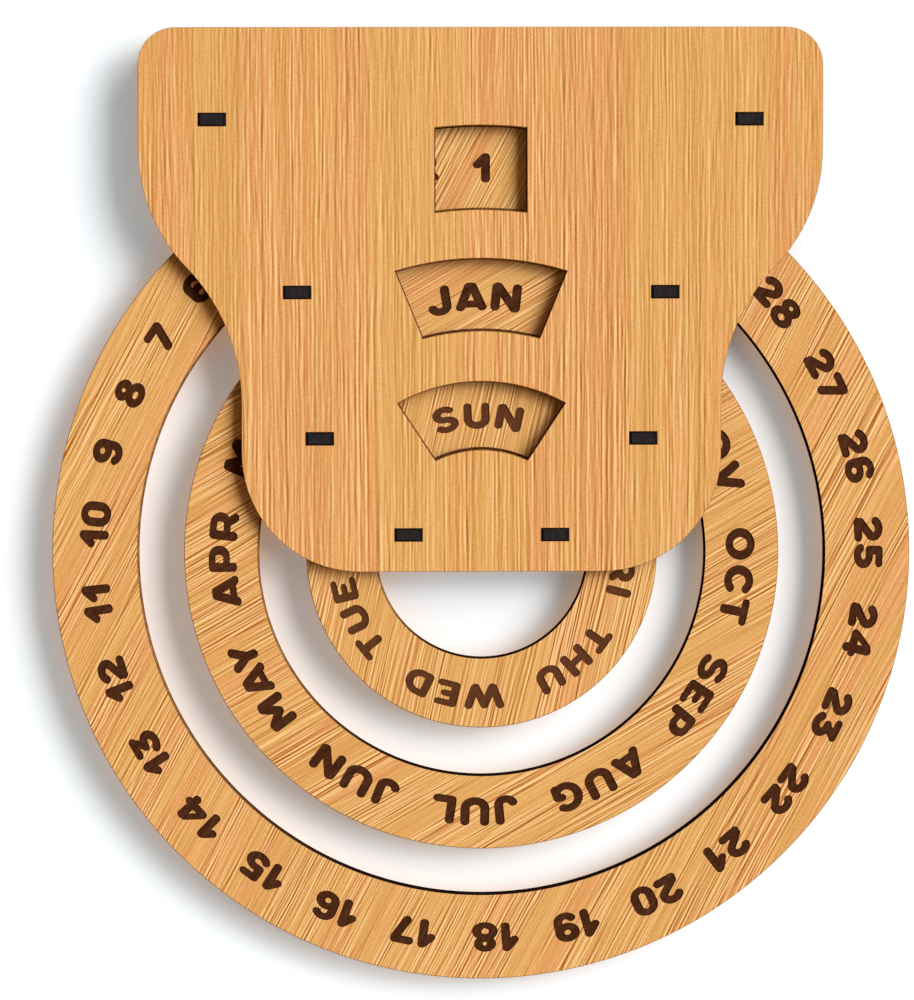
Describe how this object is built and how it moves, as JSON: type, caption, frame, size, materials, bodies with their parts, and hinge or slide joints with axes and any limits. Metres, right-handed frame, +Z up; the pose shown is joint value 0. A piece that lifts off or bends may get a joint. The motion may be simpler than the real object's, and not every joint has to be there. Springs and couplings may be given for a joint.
{
  "type": "wall calendar",
  "caption": "Perpetual wall calendar of bamboo plywood: nested date, month and weekday rings turn by hand between plates with windows",
  "frame": {"origin": "centre of the keyhole's head hole, on the rear face of the back plate, where the screw's head goes in", "axes": "+Z up the wall, +Y into the wall, +X to the reader's right; the windows face -Y"},
  "size_m": [0.27, 0.0133, 0.2992],
  "materials": {
    "plate_bamboo": "sanded bamboo veneer with vertical grain, thin clear oil",
    "ring_bamboo": "sanded bamboo veneer with slanted grain, thin clear oil",
    "charred_tab": "laser-charred edge of the plywood, matt"
  },
  "bodies": {
    "frame": {"front_plate": "plate_bamboo", "back_plate": "plate_bamboo", "top_spacer_left": "charred_tab", "top_spacer_right": "charred_tab", "date_carrier_left": "charred_tab", "date_carrier_right": "charred_tab", "month_carrier_left": "charred_tab", "month_carrier_right": "charred_tab", "weekday_carrier_left": "charred_tab", "weekday_carrier_right": "charred_tab"},
    "date_ring": {"date_ring": "ring_bamboo"},
    "month_ring": {"month_ring": "ring_bamboo"},
    "weekday_ring": {"weekday_ring": "ring_bamboo"}
  },
  "joints": [
    {"name": "date_ring_turn", "type": "hinge", "parent": "frame", "child": "date_ring", "pos_m": [0, -0.0065, -0.144], "axis": [0, 1, 0], "continuous": true},
    {"name": "month_ring_turn", "type": "hinge", "parent": "frame", "child": "month_ring", "pos_m": [0, -0.0065, -0.144], "axis": [0, 1, 0], "continuous": true},
    {"name": "weekday_ring_turn", "type": "hinge", "parent": "frame", "child": "weekday_ring", "pos_m": [0, -0.0065, -0.144], "axis": [0, 1, 0], "continuous": true}
  ]
}
